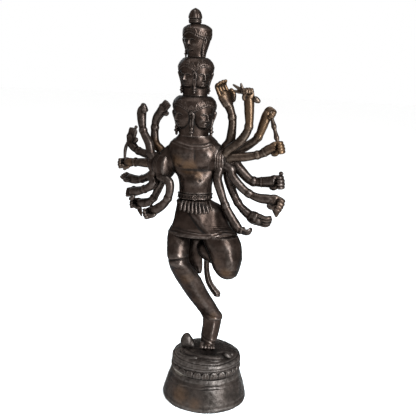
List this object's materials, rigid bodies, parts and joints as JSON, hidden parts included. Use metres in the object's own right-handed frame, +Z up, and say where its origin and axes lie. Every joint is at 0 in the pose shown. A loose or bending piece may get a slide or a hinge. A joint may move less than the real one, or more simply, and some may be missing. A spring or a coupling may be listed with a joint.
{
  "type": "dancing figure statuette",
  "caption": "Dark bronze dancing figure with tiers of heads and a fan of arms, balanced on one foot on a round two-stage lotus base.",
  "frame": {"origin": "centre of the bounding box, on the surface that the base stands on", "axes": "+Z up through the heads, -Y the side that the hips face, +X towards the raised leg"},
  "size_m": [0.2206, 0.1246, 0.519],
  "materials": {
    "dark_bronze": "dark brown-black patina with a soft waxed sheen, greyer dust in the recesses",
    "worn_bronze": "patina handled through to a warm brown on hands and edges",
    "base_bronze": "duller grey-brown patina with dust in the grooves"
  },
  "bodies": {
    "root": {"arm_left_1": "dark_bronze", "arm_left_2": "dark_bronze", "arm_left_3": "dark_bronze", "arm_left_4": "worn_bronze", "arm_left_5": "dark_bronze", "arm_left_6": "dark_bronze", "arm_left_7": "dark_bronze", "arm_left_8": "dark_bronze", "arm_right_1": "worn_bronze", "arm_right_2": "worn_bronze", "arm_right_3": "worn_bronze", "arm_right_4": "worn_bronze", "arm_right_5": "dark_bronze", "arm_right_6": "dark_bronze", "arm_right_7": "dark_bronze", "arm_right_8": "dark_bronze", "belt": "dark_bronze", "belt_rosette": "dark_bronze", "bow_staff": "dark_bronze", "crown_finial": "dark_bronze", "hand_spike": "worn_bronze", "lotus_band": "base_bronze", "lower_heads": "dark_bronze", "mace_rod": "worn_bronze", "middle_heads": "dark_bronze", "pedestal_cushion": "base_bronze", "pedestal_drum": "base_bronze", "pleat_fan": "dark_bronze", "raised_foot": "dark_bronze", "raised_leg": "dark_bronze", "reclining_figure": "base_bronze", "sash_tail": "dark_bronze", "sceptre": "worn_bronze", "short_blade": "dark_bronze", "shoulder_hub_left": "dark_bronze", "shoulder_hub_right": "dark_bronze", "skirt": "dark_bronze", "small_stick": "dark_bronze", "standing_foot": "dark_bronze", "standing_leg": "dark_bronze", "thumb_knob": "dark_bronze", "top_head": "dark_bronze", "torso": "dark_bronze"}
  },
  "joints": []
}
